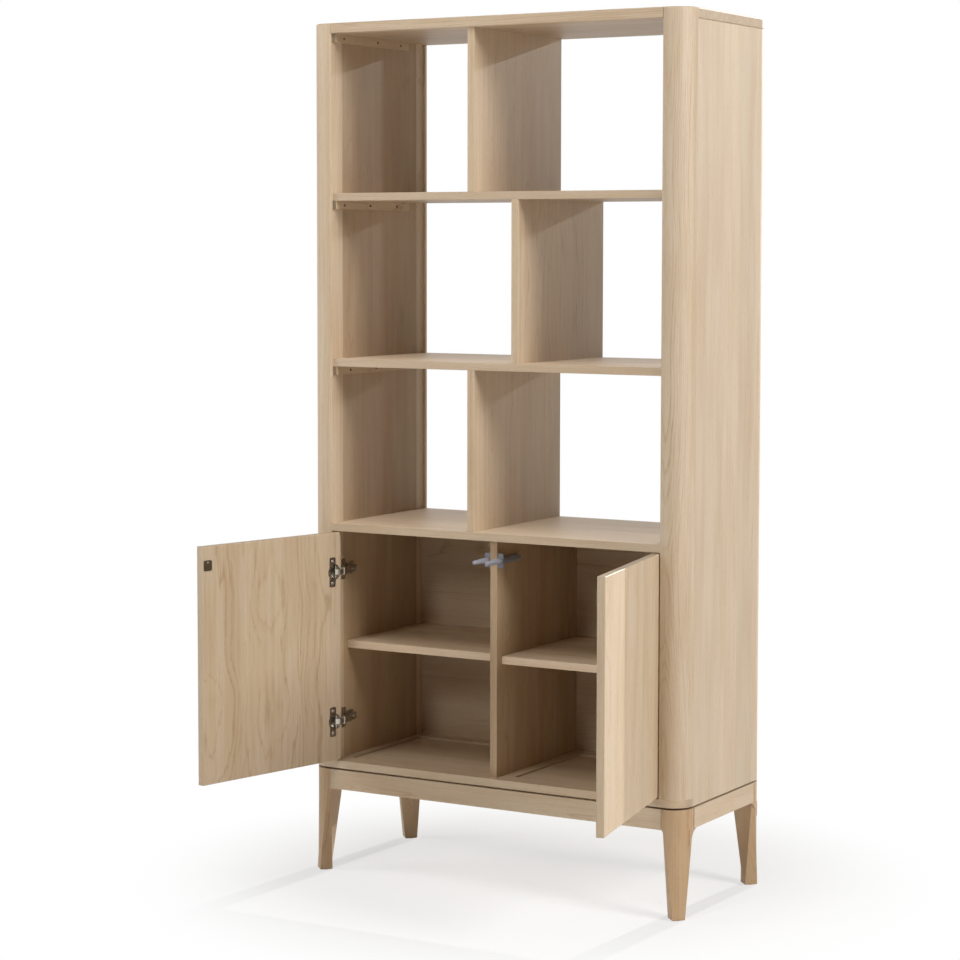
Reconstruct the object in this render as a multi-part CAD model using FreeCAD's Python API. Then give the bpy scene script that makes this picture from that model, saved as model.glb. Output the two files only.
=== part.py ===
"""Open bookcase with a two-door base cabinet on a low leg stand.

Frame: X to the right, Y to the back, Z up. The floor is Z zero, X zero is the
middle of the width and Y zero is the middle of the depth. All sizes in mm.
The doors are drawn open, as they stand at rest.
"""
import math
import os

import FreeCAD
import Part

# Case
case_width = 985.0
case_depth = 424.0
total_height = 2000.0
corner_radius = 48.0
side_thickness = 62.0
post_depth = 48.0
board_thickness = 18.0
top_thickness = 24.0
top_edge_round = 3.0
arris_round = 2.5
board_edge_round = 1.0
case_underside = 252.0
shelf_setback = 8.0
shelf_housing = 6.0

# Rows of the open part, counted from the top
cabinet_top_level = 834.0
divider_upper_left = -65.0
divider_middle_left = 50.0
divider_lower_left = -65.0

# Lip of the rear posts and the cabinet back
lip_proud = 6.0
lip_thickness = 7.0
lip_inset = 9.0
back_thickness = 6.0

# Cabinet floor frame and inside
floor_border_side = 20.0
floor_border_rear = 40.0
floor_middle_half = 40.0
floor_recess = 4.0
floor_panel_thickness = 9.0
floor_tongue = 7.0
cabinet_divider_left = -10.5
cabinet_divider_setback = 20.0
half_shelf_level = 548.0
half_shelf_gap = 1.0
left_half_shelf_setback = 64.0
right_half_shelf_setback = 40.0
pin_radius = 2.5
pin_length = 9.0
pin_inset = 40.0

# Cleats that carry the upper boards
cleat_height = 20.0
cleat_thickness = 10.0
cleat_front_inset = 7.0
cleat_length = 319.0
right_cleat_shift = 15.0
screw_hole_radius = 3.5
screw_radius = 3.1
screw_recess = 2.0
top_screw_front = 43.0
top_screw_middle = 188.0
top_screw_rear = 290.0
shelf_1_screw_front = 43.0
shelf_1_screw_middle = 154.0
shelf_1_screw_rear = 272.0
shelf_2_screw_front = 67.0
shelf_2_screw_middle = 178.0
shelf_2_screw_rear = 284.0
batten_height = 15.0
batten_thickness = 8.0
batten_front_inset = 3.0
batten_length = 290.0

# Stand
stand_gap = 4.5
rail_height = 46.0
rail_thickness = 24.0
leg_top_size = 55.5
leg_top_cut = 1.5
knuckle_drop = 14.0
taper_top_size = 52.7
taper_top_cut = 7.0
ear_length = 16.0
ear_drop = 34.0
ear_root = 43.5
ear_hold = 9.0
ear_inset = 0.4
sole_reach = 21.2
sole_from_side = 25.5
sole_from_front = 21.3
sole_chamfer = 1.5
glide_radius = 10.0
glide_height = 1.5
spacer_radius = 10.0
spacer_inset = 34.0
plate_leg = 62.0
plate_thickness = 3.0
plate_drop = 12.0
plate_hole_radius = 2.6
stand_screw_radius = 2.3
stand_screw_head_radius = 4.5
stand_screw_head_height = 2.5

# Doors
door_thickness = 18.0
door_gap = 2.5
door_middle_gap = 3.0
door_edge_round = 2.0
door_corner_round = 8.0
left_open_angle = 103.0
right_open_angle = 101.5
pivot_edge_inset = 4.6
pivot_face_inset = 4.5

# Concealed cup hinges
hinge_end_inset = 93.0
cup_radius = 17.5
cup_depth = 11.5
cup_wall = 0.8
cup_edge_inset = 5.0
cup_clearance = 0.2
cup_floor_clearance = 0.5
flange_thickness = 1.2
flange_rim = 1.3
wing_height = 70.0
wing_width = 19.0
wing_offset = 5.5
wing_corner_round = 4.0
wing_screw_spacing = 52.0
wing_screw_radius = 3.8
wing_screw_height = 1.6
link_inner_radius = 15.7
link_thickness = 3.8
link_half_width = 5.8
link_front_angle = 13.0
link_rear_angle = 98.0
link_pin_angle = 17.0
link_pin_radius = 1.3
link_pin_clearance = 0.4
link_share_of_door_turn = 0.7
arm_side_clearance = 0.6
arm_wall = 1.4
arm_front_angle = 25.0
channel_past_link_angle = 12.5
arm_reach = 86.0
arm_back_height = 12.0
plate_base_thickness = 2.0
plate_wing_height = 48.0
plate_wing_width = 18.0
plate_wing_setback = 46.0
plate_step_height = 6.0
arm_screw_radius = 3.0
arm_screw_height = 1.2
arm_screw_setback = 76.0

# Push latches beside the cabinet divider
latch_level = 770.0
latch_radius = 7.5
latch_bore_radius = 6.6
latch_flange_height = 33.0
latch_flange_thickness = 2.0
latch_body_length = 82.0
latch_end_wall = 3.0
latch_flange_setback = 22.0
sleeve_radius = 6.3
sleeve_reach = 36.0
sleeve_hold = 16.0
tip_radius = 4.8
tip_reach = 62.0
tip_round = 1.5
strike_size = 24.0
strike_thickness = 0.8
strike_corner_round = 4.0

# Overrun for every cut
overrun = 5.0

# Places worked out from the sizes above
half_width = case_width / 2
half_depth = case_depth / 2
inner_half_width = half_width - side_thickness
front_plane = -half_depth
post_rear = front_plane + post_depth
rear_post_front = half_depth - post_depth
case_top = total_height
top_underside = case_top - top_thickness
stand_top = case_underside - stand_gap
floor_level = case_underside + board_thickness
cabinet_ceiling = cabinet_top_level - board_thickness
clear_row = (top_underside - cabinet_top_level - 2 * board_thickness) / 3
shelf_2_top = cabinet_top_level + clear_row + board_thickness
shelf_1_top = shelf_2_top + clear_row + board_thickness
shelf_front = front_plane + shelf_setback
lip_rear = half_depth - lip_inset
lip_front = lip_rear - lip_thickness
shelf_rear = lip_rear
back_front = lip_front - back_thickness
cabinet_divider_front = front_plane + cabinet_divider_setback
cabinet_divider_right = cabinet_divider_left + board_thickness


def block(x0, x1, y0, y1, z0, z1):
    """Box between two corners."""
    size = (x1 - x0, y1 - y0, z1 - z0)
    return Part.makeBox(*size, FreeCAD.Vector(x0, y0, z0))


def rod(radius, start, direction, length):
    """Round bar from a start point along a direction."""
    return Part.makeCylinder(radius, length, FreeCAD.Vector(*start), FreeCAD.Vector(*direction))


def round_edges(shape, radius, wanted):
    """Round the edges of a shape for which wanted(start, end) is true."""
    chosen = []
    for edge in shape.Edges:
        if not isinstance(edge.Curve, Part.Line):
            continue
        if wanted(edge.Vertexes[0].Point, edge.Vertexes[-1].Point):
            chosen.append(edge)
    return shape.makeFillet(radius, chosen)


def same(a, b):
    """True where two coordinates are the same place."""
    return math.isclose(a, b, abs_tol=arris_round / 1000)


def rounded_outline(x0, x1, y0, y1, radii, z):
    """Closed plan outline with a radius for each corner, from (x0, y0) round."""
    corners = [(x0, y0), (x1, y0), (x1, y1), (x0, y1)]
    steps = [(1, 0), (0, 1), (-1, 0), (0, -1)]
    edges = []
    count = len(corners)
    for i in range(count):
        corner = FreeCAD.Vector(corners[i][0], corners[i][1], z)
        following = FreeCAD.Vector(corners[(i + 1) % count][0], corners[(i + 1) % count][1], z)
        step_in = FreeCAD.Vector(steps[i - 1][0], steps[i - 1][1], 0)
        step_out = FreeCAD.Vector(steps[i][0], steps[i][1], 0)
        radius = radii[i]
        radius_next = radii[(i + 1) % count]
        middle = corner + (step_out - step_in) * radius * (1 - math.sqrt(1 / 2))
        edges.append(Part.Arc(corner - step_in * radius, middle, corner + step_out * radius).toShape())
        start = corner + step_out * radius
        end = following - step_out * radius_next
        edges.append(Part.LineSegment(start, end).toShape())
    return Part.Wire(edges)


def case_prism(z0, z1):
    """The whole rounded plan of the case between two heights."""
    outline = rounded_outline(
        -half_width, half_width, -half_depth, half_depth, [corner_radius] * 4, z0)
    return Part.Face(outline).extrude(FreeCAD.Vector(0, 0, z1 - z0))


def mirrored(shape):
    """The same piece on the other side of the middle plane."""
    return shape.mirror(FreeCAD.Vector(0, 0, 0), FreeCAD.Vector(1, 0, 0))


def mirrored_front(shape):
    """The same piece on the other side of the mid-depth plane."""
    return shape.mirror(FreeCAD.Vector(0, 0, 0), FreeCAD.Vector(0, 1, 0))


def save(name, *shapes):
    """Write one piece, or a set of like fasteners, to its own file."""
    if len(shapes) == 1:
        shape = shapes[0]
    else:
        shape = Part.makeCompound(list(shapes))
    shape.exportStep("parts/" + name + ".step")


# Case boards
def front_corner(z0, z1):
    """Room of the left front post between two heights."""
    return block(-half_width, -inner_half_width, front_plane, post_rear, z0, z1)


def round_rims(shape, levels):
    """Round the outline of an upright prism at some of its levels."""
    rims = []
    for edge in shape.Edges:
        heights = [vertex.Z for vertex in edge.Vertexes]
        if any(same(min(heights), level) and same(max(heights), level) for level in levels):
            rims.append(edge)
    return shape.makeFillet(top_edge_round, rims)


def make_top():
    """Top board over the sides and between the front posts, its edges rounded."""
    top = round_rims(case_prism(top_underside, case_top), (top_underside, case_top))
    corner = front_corner(top_underside - overrun, case_top + overrun)
    return top.cut(corner).cut(mirrored(corner))


def make_shelf_3():
    """Cabinet top, flush with the posts and housed in the sides."""
    reach = inner_half_width + shelf_housing
    shelf = block(-reach, reach, front_plane, shelf_rear, cabinet_ceiling, cabinet_top_level)
    return shelf.cut(lip_pair(cabinet_ceiling, cabinet_top_level))


def lip_pair(z0, z1):
    """Room for the two lips of the rear posts between two heights."""
    inner = inner_half_width - lip_proud
    left = block(-half_width, -inner, lip_front, lip_rear, z0 - overrun, z1 + overrun)
    return left.fuse(mirrored(left))


def make_upper_shelf(top):
    """Upper board, set back from the posts and notched round the lips."""
    inner = inner_half_width
    shelf = block(-inner, inner, shelf_front, shelf_rear, top - board_thickness, top)
    shelf = round_edges(
        shelf, board_edge_round, lambda a, b: same(a.y, shelf_front) and same(b.y, shelf_front)
        and same(a.z, b.z))
    return shelf.cut(lip_pair(top - board_thickness, top))


def make_front_post():
    """Left front post up to the top, its outer corner on the plan curve of the case."""
    prism = round_rims(case_prism(floor_level, case_top), (case_top,))
    post = prism.common(front_corner(floor_level, case_top))
    post = round_edges(
        post, arris_round, lambda a, b: same(a.x, -inner_half_width)
        and same(a.y, front_plane) and same(b.y, front_plane) and same(b.x, a.x))
    housing = block(
        -inner_half_width - shelf_housing, 0, front_plane - overrun, post_rear + overrun,
        cabinet_ceiling, cabinet_top_level)
    return post.cut(housing)


def make_side():
    """Left side panel between the posts."""
    side = block(
        -half_width, -inner_half_width, post_rear, rear_post_front, case_underside, top_underside)
    housing = block(
        -inner_half_width - shelf_housing, 0, post_rear - overrun, rear_post_front + overrun,
        cabinet_ceiling, cabinet_top_level)
    return side.cut(housing)


def make_rear_post():
    """Left rear post with the small lip that stands proud inside."""
    blank = block(
        -half_width, -inner_half_width, rear_post_front, half_depth, case_underside, top_underside)
    post = case_prism(case_underside, top_underside).common(blank)
    lip = block(
        -inner_half_width, -inner_half_width + lip_proud, lip_front, lip_rear,
        case_underside, top_underside)
    post = post.fuse(lip).removeSplitter()
    housing = block(
        -inner_half_width - shelf_housing, -inner_half_width, rear_post_front - overrun,
        lip_front, cabinet_ceiling, cabinet_top_level)
    return post.cut(housing)


def window(x0, x1):
    """Opening in the floor frame with the rebate under it for its panel."""
    y0 = post_rear
    y1 = back_front - floor_border_rear
    through = block(x0, x1, y0, y1, case_underside - overrun, floor_level + overrun)
    rebate = block(
        x0 - floor_tongue, x1 + floor_tongue, y0 - floor_tongue, y1 + floor_tongue,
        case_underside - overrun, floor_level - floor_recess)
    return through.fuse(rebate)


def floor_panel(x0, x1):
    """Panel seated in the rebate of one window of the floor frame."""
    y0 = post_rear - floor_tongue
    y1 = back_front - floor_border_rear + floor_tongue
    z1 = floor_level - floor_recess
    return block(
        x0 - floor_tongue, x1 + floor_tongue, y0, y1, z1 - floor_panel_thickness, z1)


def floor_windows():
    """Left and right limits of the two windows in the floor."""
    outer = inner_half_width - floor_border_side
    middle = (cabinet_divider_left + cabinet_divider_right) / 2
    return [(-outer, middle - floor_middle_half), (middle + floor_middle_half, outer)]


def make_floor_frame():
    """Bottom board: a front strip under both posts and a frame behind it."""
    strip = case_prism(case_underside, floor_level).common(block(
        -half_width, half_width, front_plane, post_rear, case_underside, floor_level))
    inner = inner_half_width
    frame = block(-inner, inner, post_rear, lip_rear, case_underside, floor_level)
    frame = frame.cut(lip_pair(case_underside, floor_level))
    floor = strip.fuse(frame).removeSplitter()
    for limits in floor_windows():
        floor = floor.cut(window(*limits))
    return floor


def make_back():
    """Thin back of the cabinet, in front of the lips."""
    inner = inner_half_width
    return block(-inner, inner, back_front, lip_front, floor_level, cabinet_ceiling)


def make_row_divider(left, z0, z1):
    """Upright between two boards of the open part."""
    divider = block(left, left + board_thickness, shelf_front, shelf_rear, z0, z1)
    return round_edges(
        divider, board_edge_round, lambda a, b: same(a.y, shelf_front)
        and same(b.y, shelf_front) and same(a.x, b.x))


def make_cabinet_divider():
    """Upright in the middle of the cabinet, behind the closed doors."""
    divider = block(
        cabinet_divider_left, cabinet_divider_right, cabinet_divider_front, back_front,
        floor_level, cabinet_ceiling)
    return round_edges(
        divider, board_edge_round, lambda a, b: same(a.y, cabinet_divider_front)
        and same(b.y, cabinet_divider_front) and same(a.x, b.x))


def make_half_shelf(x0, x1, setback):
    """Loose shelf of one bay, resting on four pins."""
    front = front_plane + setback
    shelf = block(
        x0 + half_shelf_gap, x1 - half_shelf_gap, front, back_front - half_shelf_gap,
        half_shelf_level - board_thickness, half_shelf_level)
    return round_edges(
        shelf, board_edge_round, lambda a, b: same(a.y, front) and same(b.y, front)
        and same(a.z, b.z))


def shelf_pins():
    """Four pins for each loose shelf."""
    pins = []
    z = half_shelf_level - board_thickness - pin_radius
    bays = [
        (-inner_half_width, cabinet_divider_left, left_half_shelf_setback),
        (cabinet_divider_right, inner_half_width, right_half_shelf_setback)]
    for x0, x1, setback in bays:
        for y in (front_plane + setback + pin_inset, back_front - pin_inset):
            pins.append(rod(pin_radius, (x0, y, z), (1, 0, 0), pin_length))
            pins.append(rod(pin_radius, (x1, y, z), (-1, 0, 0), pin_length))
    return pins


# Cleats and their screws, the places counted back from the front of the case
top_cleat = (
    top_underside, (top_screw_front, top_screw_middle, top_screw_rear))
shelf_1_cleat = (
    shelf_1_top - board_thickness,
    (shelf_1_screw_front, shelf_1_screw_middle, shelf_1_screw_rear))
shelf_2_cleat = (
    shelf_2_top - board_thickness,
    (shelf_2_screw_front, shelf_2_screw_middle, shelf_2_screw_rear))


def cleat_screw_places(board_underside, setbacks):
    """Centre of each screw of a left cleat, on the face of the side."""
    z = board_underside - cleat_height / 2
    return [(-inner_half_width, front_plane + setback, z) for setback in setbacks]


def make_cleat(board_underside, setbacks):
    """Left cleat under a board, bored for its screws."""
    front = front_plane + cleat_front_inset
    cleat = block(
        -inner_half_width, -inner_half_width + cleat_thickness, front, front + cleat_length,
        board_underside - cleat_height, board_underside)
    for place in cleat_screw_places(board_underside, setbacks):
        start = (place[0] - overrun, place[1], place[2])
        cleat = cleat.cut(rod(screw_hole_radius, start, (1, 0, 0), cleat_thickness + 2 * overrun))
    return cleat


def right_cleat_piece(shape):
    """A piece of the left cleats on the right side, where they sit farther back."""
    moved = mirrored(shape)
    moved.translate(FreeCAD.Vector(0, right_cleat_shift, 0))
    return moved


def cleat_screws():
    """Screws of every cleat, sunk a little below its face."""
    screws = []
    length = cleat_thickness - screw_recess
    for cleat in (top_cleat, shelf_1_cleat, shelf_2_cleat):
        for place in cleat_screw_places(*cleat):
            screw = rod(screw_radius, place, (1, 0, 0), length)
            screws.append(screw)
            screws.append(right_cleat_piece(screw))
    return screws


def make_batten():
    """Small batten that fixes the cabinet divider under the cabinet top."""
    front = cabinet_divider_front + batten_front_inset
    return block(
        cabinet_divider_left - batten_thickness, cabinet_divider_left, front,
        front + batten_length, cabinet_ceiling - batten_height, cabinet_ceiling)


# Stand
def closed_section(first_edge, corners):
    """Wire of one leg section: an outer edge, then straight edges by way of the corners."""
    ends = [first_edge.Vertexes[-1].Point] + corners + [first_edge.Vertexes[0].Point]
    edges = [first_edge]
    for start, end in zip(ends, ends[1:]):
        edges.append(Part.LineSegment(start, end).toShape())
    return Part.Wire(edges)


def leg_point(across, back, z):
    """Point of the front left leg, counted in from the outer faces of the case."""
    return FreeCAD.Vector(-half_width + across, front_plane + back, z)


def leg_section(size, cut, z):
    """Section of the upper leg: round outer corner, both side corners cut off."""
    reach = min(size - cut, corner_radius)
    near = corner_radius - math.sqrt(corner_radius ** 2 - (corner_radius - reach) ** 2)
    bulge = corner_radius * (1 - math.sqrt(1 / 2))
    arc = Part.Arc(
        leg_point(reach, near, z), leg_point(bulge, bulge, z), leg_point(near, reach, z))
    return closed_section(arc.toShape(), [
        leg_point(cut, size, z), leg_point(size, size, z), leg_point(size, cut, z)])


def sole_section(reach, z):
    """Section near the floor: a square turned so that one flat faces the outer corner."""
    x = sole_from_side
    y = sole_from_front
    outer = Part.LineSegment(leg_point(x, y - reach, z), leg_point(x - reach, y, z))
    return closed_section(outer.toShape(), [
        leg_point(x, y + reach, z), leg_point(x + reach / 2, y + reach / 2, z),
        leg_point(x + reach, y, z)])


def make_ear():
    """Hollow-sided ear of the leg under the end of the side rail."""
    top = stand_top - rail_height
    length = leg_top_size + ear_length - ear_root
    share = math.sqrt(1 / 2)
    tip = leg_point(ear_inset, ear_root + length, top)
    middle = leg_point(ear_inset, ear_root + length * (1 - share), top - ear_drop * (1 - share))
    root = leg_point(ear_inset, ear_root, top - ear_drop)
    held = leg_point(ear_inset, ear_root - ear_hold, top - ear_drop)
    corner = leg_point(ear_inset, ear_root - ear_hold, top)
    outline = Part.Wire([
        Part.Arc(tip, middle, root).toShape(), Part.LineSegment(root, held).toShape(),
        Part.LineSegment(held, corner).toShape(), Part.LineSegment(corner, tip).toShape()])
    return Part.Face(outline).extrude(FreeCAD.Vector(rail_thickness - ear_inset, 0, 0))


def make_leg():
    """Front left leg: straight between the rails, a hollow knuckle, then a taper."""
    rail_bottom = stand_top - rail_height
    sections = [leg_section(leg_top_size, leg_top_cut, stand_top)]
    for turn_share in (0, 1 / 3, 2 / 3, 1):
        turn = math.radians(90 * turn_share)
        size = taper_top_size + (leg_top_size - taper_top_size) * (1 - math.sin(turn))
        cut = taper_top_cut + (leg_top_cut - taper_top_cut) * (1 - math.sin(turn))
        z = rail_bottom - knuckle_drop * (1 - math.cos(turn))
        sections.append(leg_section(size, cut, z))
    sections.append(sole_section(sole_reach, glide_height + sole_chamfer))
    sections.append(sole_section(sole_reach - sole_chamfer, glide_height))
    return Part.makeLoft(sections, True, True).fuse(make_ear())


def sole_centre():
    """Centre of the front left sole."""
    return (-half_width + sole_from_side, front_plane + sole_from_front)


def make_front_rail():
    """Front rail between two legs, flush with their faces."""
    reach = half_width - leg_top_size
    return block(
        -reach, reach, front_plane, front_plane + rail_thickness,
        stand_top - rail_height, stand_top)


def make_side_rail():
    """Left rail between two legs, flush with their faces."""
    reach = half_depth - leg_top_size
    return block(
        -half_width, -half_width + rail_thickness, -reach, reach,
        stand_top - rail_height, stand_top)


def four_corners(shape):
    """A piece of the front left corner with its three mirror images."""
    right = mirrored(shape)
    return [shape, right, mirrored_front(shape), mirrored_front(right)]


def corner_plate():
    """Steel plate screwed across a corner inside the rails."""
    x0 = -half_width + rail_thickness
    y0 = front_plane + rail_thickness
    z0 = stand_top - plate_drop
    leg_inner_x = -half_width + leg_top_size
    leg_inner_y = front_plane + leg_top_size
    corners = [
        (leg_inner_x, y0), (leg_inner_x + plate_leg, y0), (x0, leg_inner_y + plate_leg),
        (x0, leg_inner_y), (leg_inner_x, leg_inner_y)]
    points = [FreeCAD.Vector(x, y, z0) for x, y in corners]
    face = Part.Face(Part.makePolygon(points + [points[0]]))
    plate = face.extrude(FreeCAD.Vector(0, 0, plate_thickness))
    hole = rod(
        plate_hole_radius, (*plate_screw_place(), z0 - overrun), (0, 0, 1),
        plate_thickness + 2 * overrun)
    return plate.cut(hole)


def plate_screw_place():
    """Plan place of the screw through the corner plate up into the case."""
    x = -half_width + leg_top_size + plate_leg / 4
    y = front_plane + leg_top_size + plate_leg / 4
    return (x, y)


def stand_screw():
    """Screw that holds the case down on the stand."""
    z0 = stand_top - plate_drop
    place = plate_screw_place()
    head = rod(
        stand_screw_head_radius, (*place, z0 - stand_screw_head_height), (0, 0, 1),
        stand_screw_head_height)
    shank = rod(stand_screw_radius, (*place, z0), (0, 0, 1), case_underside - z0)
    return head.fuse(shank)


# Doors, drawn closed at the left and then swung open
door_bottom = floor_level + door_gap
door_top = cabinet_ceiling - door_gap
door_hinge_edge = -inner_half_width + door_gap
door_free_edge = -door_middle_gap / 2
door_inner_face = front_plane + door_thickness
pivot_x = door_hinge_edge + pivot_edge_inset
pivot_y = front_plane + pivot_face_inset
hinge_levels = (door_top - hinge_end_inset, door_bottom + hinge_end_inset)
cup_x = door_hinge_edge + cup_edge_inset + cup_radius


def swing(shape, angle):
    """Turn a piece of the left door about its pivot, opening outward."""
    turned = shape.copy()
    turned.rotate(FreeCAD.Vector(pivot_x, pivot_y, 0), FreeCAD.Vector(0, 0, 1), -angle)
    return turned


def make_leaf():
    """Closed left leaf with its corners eased and bored for the cups."""
    leaf = block(
        door_hinge_edge, door_free_edge, front_plane, door_inner_face, door_bottom, door_top)
    leaf = round_edges(
        leaf, door_corner_round, lambda a, b: same(a.x, b.x) and same(a.z, b.z)
        and same(a.x, door_hinge_edge))
    rims = []
    for edge in leaf.Edges:
        depths = [vertex.Y for vertex in edge.Vertexes]
        if same(min(depths), max(depths)):
            rims.append(edge)
    leaf = leaf.makeFillet(door_edge_round, rims)
    for level in hinge_levels:
        bore = rod(
            cup_radius + cup_clearance, (cup_x, door_inner_face + overrun, level), (0, -1, 0),
            cup_depth + cup_floor_clearance + overrun)
        leaf = leaf.cut(bore)
    return leaf


def make_cup(level):
    """Cup with its round rim and the winged flange on the leaf."""
    cup = rod(cup_radius, (cup_x, door_inner_face - cup_depth, level), (0, 1, 0), cup_depth)
    rim = rod(
        cup_radius + flange_rim, (cup_x, door_inner_face, level), (0, 1, 0), flange_thickness)
    wing_x = cup_x + wing_offset
    wing = block(
        wing_x - wing_width / 2, wing_x + wing_width / 2, door_inner_face,
        door_inner_face + flange_thickness, level - wing_height / 2, level + wing_height / 2)
    wing = round_edges(
        wing, wing_corner_round, lambda a, b: same(a.x, b.x) and same(a.z, b.z))
    cup = cup.fuse(rim).fuse(wing).removeSplitter()
    hollow = rod(
        cup_radius - cup_wall, (cup_x, door_inner_face - cup_depth + cup_wall, level),
        (0, 1, 0), cup_depth + overrun)
    return cup.cut(hollow)


def cup_screws():
    """Heads of the two flange screws of each cup."""
    screws = []
    y = door_inner_face + flange_thickness
    for level in hinge_levels:
        for side in (-1, 1):
            z = level + side * wing_screw_spacing / 2
            screws.append(rod(
                wing_screw_radius, (cup_x + wing_offset, y, z), (0, 1, 0), wing_screw_height))
    return screws


def sector(inner, outer, angle_0, angle_1, z0, z1):
    """Part of a ring about the pivot, angles from the X direction."""
    ring = Part.makeCylinder(
        outer, z1 - z0, FreeCAD.Vector(pivot_x, pivot_y, z0), FreeCAD.Vector(0, 0, 1),
        angle_1 - angle_0)
    bore = Part.makeCylinder(
        inner, z1 - z0 + 2 * overrun, FreeCAD.Vector(pivot_x, pivot_y, z0 - overrun))
    ring.rotate(FreeCAD.Vector(pivot_x, pivot_y, 0), FreeCAD.Vector(0, 0, 1), angle_0)
    return ring.cut(bore)


def make_link(level):
    """Curved link with a cross pin that reaches close to the cup wall."""
    link = sector(
        link_inner_radius, link_inner_radius + link_thickness, link_front_angle,
        link_rear_angle, level - link_half_width, level + link_half_width)
    radius = link_inner_radius + link_thickness / 2
    drawn = math.radians(link_pin_angle)
    travel = max(left_open_angle, right_open_angle) * (1 - link_share_of_door_turn)
    open_angle = math.radians(link_pin_angle + travel)
    offset = cup_x - (pivot_x + radius * math.cos(open_angle) - link_pin_radius)
    half = math.sqrt((cup_radius - cup_wall) ** 2 - offset ** 2) - link_pin_clearance
    place = (
        pivot_x + radius * math.cos(drawn), pivot_y + radius * math.sin(drawn), level - half)
    return link.fuse(rod(link_pin_radius, place, (0, 0, 1), 2 * half))


def make_arm(level):
    """Cranked arm on its mounting plate, open towards the side panel."""
    half = link_half_width + arm_side_clearance + arm_wall
    web_inner = link_inner_radius + link_thickness + arm_side_clearance
    web_outer = web_inner + arm_wall
    wall = -inner_half_width
    nose = sector(
        link_inner_radius, web_outer, arm_front_angle, 90, level - half, level + half)
    behind = pivot_y + web_outer
    shoulder = pivot_y + link_inner_radius + arm_wall
    rear = front_plane + arm_reach
    base = wall + plate_base_thickness
    top = wall + arm_back_height
    profile = [
        (pivot_x, shoulder), (pivot_x, behind), (top, behind + arm_back_height), (top, rear),
        (base, rear), (base, behind + arm_back_height)]
    points = [FreeCAD.Vector(x, y, level - half) for x, y in profile]
    beam = Part.Face(Part.makePolygon(points + [points[0]])).extrude(
        FreeCAD.Vector(0, 0, 2 * half))
    arm = nose.fuse(beam)
    channel_half = link_half_width + arm_side_clearance
    channel = sector(
        link_inner_radius - arm_wall, web_inner, 0, link_rear_angle + channel_past_link_angle,
        level - channel_half, level + channel_half)
    arm = arm.cut(channel)
    plate_front = front_plane + plate_wing_setback
    step = block(
        wall, base, plate_front - plate_wing_width / 2, rear, level - half - plate_step_height,
        level + half + plate_step_height)
    wings = block(
        wall, base, plate_front - plate_wing_width / 2, plate_front + plate_wing_width / 2,
        level - plate_wing_height / 2, level + plate_wing_height / 2)
    screw = rod(
        arm_screw_radius, (top, front_plane + arm_screw_setback, level), (1, 0, 0),
        arm_screw_height)
    return arm.fuse(step).fuse(wings).fuse(screw).removeSplitter()


# Push latches
latch_front = front_plane + latch_flange_setback


def make_latch(x, toward):
    """Latch housing on one face of the divider, bored for its plunger."""
    axis_x = x + toward * latch_radius
    rear = latch_front + latch_body_length
    body = rod(latch_radius, (axis_x, latch_front, latch_level), (0, 1, 0), latch_body_length)
    foot = block(
        min(x, axis_x), max(x, axis_x), latch_front, rear,
        latch_level - latch_radius, latch_level + latch_radius)
    flange = block(
        min(x, x + 2 * toward * latch_radius), max(x, x + 2 * toward * latch_radius),
        latch_front, latch_front + latch_flange_thickness,
        latch_level - latch_flange_height / 2, latch_level + latch_flange_height / 2)
    bore = rod(
        latch_bore_radius, (axis_x, latch_front - overrun, latch_level), (0, 1, 0),
        latch_body_length - latch_end_wall + overrun)
    return body.fuse(foot).fuse(flange).removeSplitter().cut(bore)


def make_plunger(x, toward):
    """Two-step plunger, drawn out as when the door is open."""
    axis_x = x + toward * latch_radius
    sleeve_front = latch_front - sleeve_reach
    sleeve = rod(
        sleeve_radius, (axis_x, sleeve_front, latch_level), (0, 1, 0),
        sleeve_reach + sleeve_hold)
    tip = rod(
        tip_radius, (axis_x, latch_front - tip_reach, latch_level), (0, 1, 0),
        tip_reach - sleeve_reach)
    rims = []
    for edge in tip.Edges:
        depths = [vertex.Y for vertex in edge.Vertexes]
        if same(max(depths), latch_front - tip_reach):
            rims.append(edge)
    tip = tip.makeFillet(tip_round, rims)
    return sleeve.fuse(tip)


def make_strike(axis_x):
    """Steel strike plate on the closed leaf, in line with the plunger."""
    y = door_inner_face
    half = strike_size / 2
    plate = block(
        axis_x - half, axis_x + half, y, y + strike_thickness,
        latch_level - half, latch_level + half)
    return round_edges(
        plate, strike_corner_round, lambda a, b: same(a.x, b.x) and same(a.z, b.z))


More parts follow.
